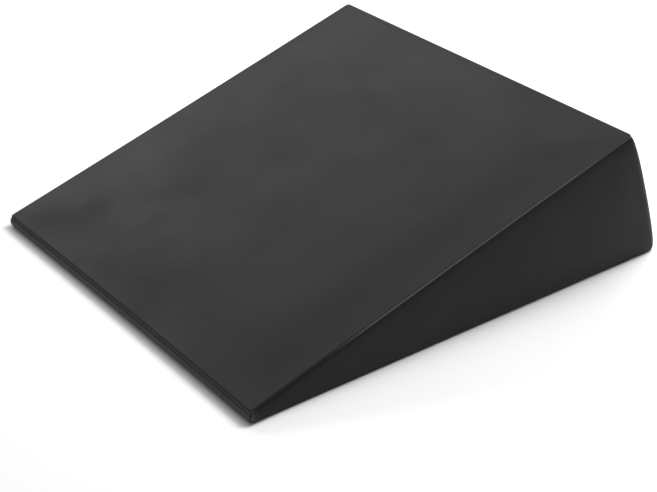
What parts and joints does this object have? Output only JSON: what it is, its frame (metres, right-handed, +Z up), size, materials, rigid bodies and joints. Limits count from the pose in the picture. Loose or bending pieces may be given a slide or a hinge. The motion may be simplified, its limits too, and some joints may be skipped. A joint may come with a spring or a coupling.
{
  "type": "foam wedge slant board",
  "caption": "Upholstered foam wedge for physiotherapy with a sloping top, a low blunt lip and a zipped leaning back face.",
  "frame": {"origin": "centre of the base face, on the surface that the wedge stands on", "axes": "+X across the wedge to its right seen from the low end, +Y from the low lip to the tall end, +Z up"},
  "size_m": [0.5, 0.5499, 0.1579],
  "materials": {
    "coated_fabric": "matt coated fabric with a fine grain",
    "foam": "open-cell foam",
    "seam_textile": "polyester thread",
    "zip_textile": "woven tape, thread and coil",
    "zip_metal": "dark lacquered zinc",
    "label_textile": "satin ribbon"
  },
  "bodies": {
    "wedge": {"foam_core": "foam", "top_panel": "coated_fabric", "base_panel": "coated_fabric", "front_band": "coated_fabric", "left_side_panel": "coated_fabric", "right_side_panel": "coated_fabric", "back_upper_panel": "coated_fabric", "back_lower_panel": "coated_fabric", "top_seam_thread": "seam_textile", "base_seam_thread": "seam_textile", "zip_tape_upper": "zip_textile", "zip_tape_lower": "zip_textile", "zip_coil_upper": "zip_textile", "zip_coil_lower": "zip_textile", "zip_top_stop_upper": "zip_metal", "zip_top_stop_lower": "zip_metal", "zip_bottom_stop": "zip_metal", "zip_topstitch_upper": "zip_textile", "zip_topstitch_lower": "zip_textile", "care_label": "label_textile"},
    "slider": {"zip_slider": "zip_metal"},
    "pull": {"zip_pull_tab": "zip_metal"}
  },
  "joints": [
    {"name": "slider_travel", "type": "slide", "parent": "wedge", "child": "slider", "axis": [-1, 0, 0], "range_m": [0, 0.4027], "deforming": ["zip_tape_upper", "zip_tape_lower", "zip_coil_upper", "zip_coil_lower"]},
    {"name": "pull_swing", "type": "hinge", "parent": "slider", "child": "pull", "pos_m": [0.1997, 0.26281, 0.04658], "axis": [0, 0.3288, -0.9444], "range_deg": [0, 170]}
  ]
}
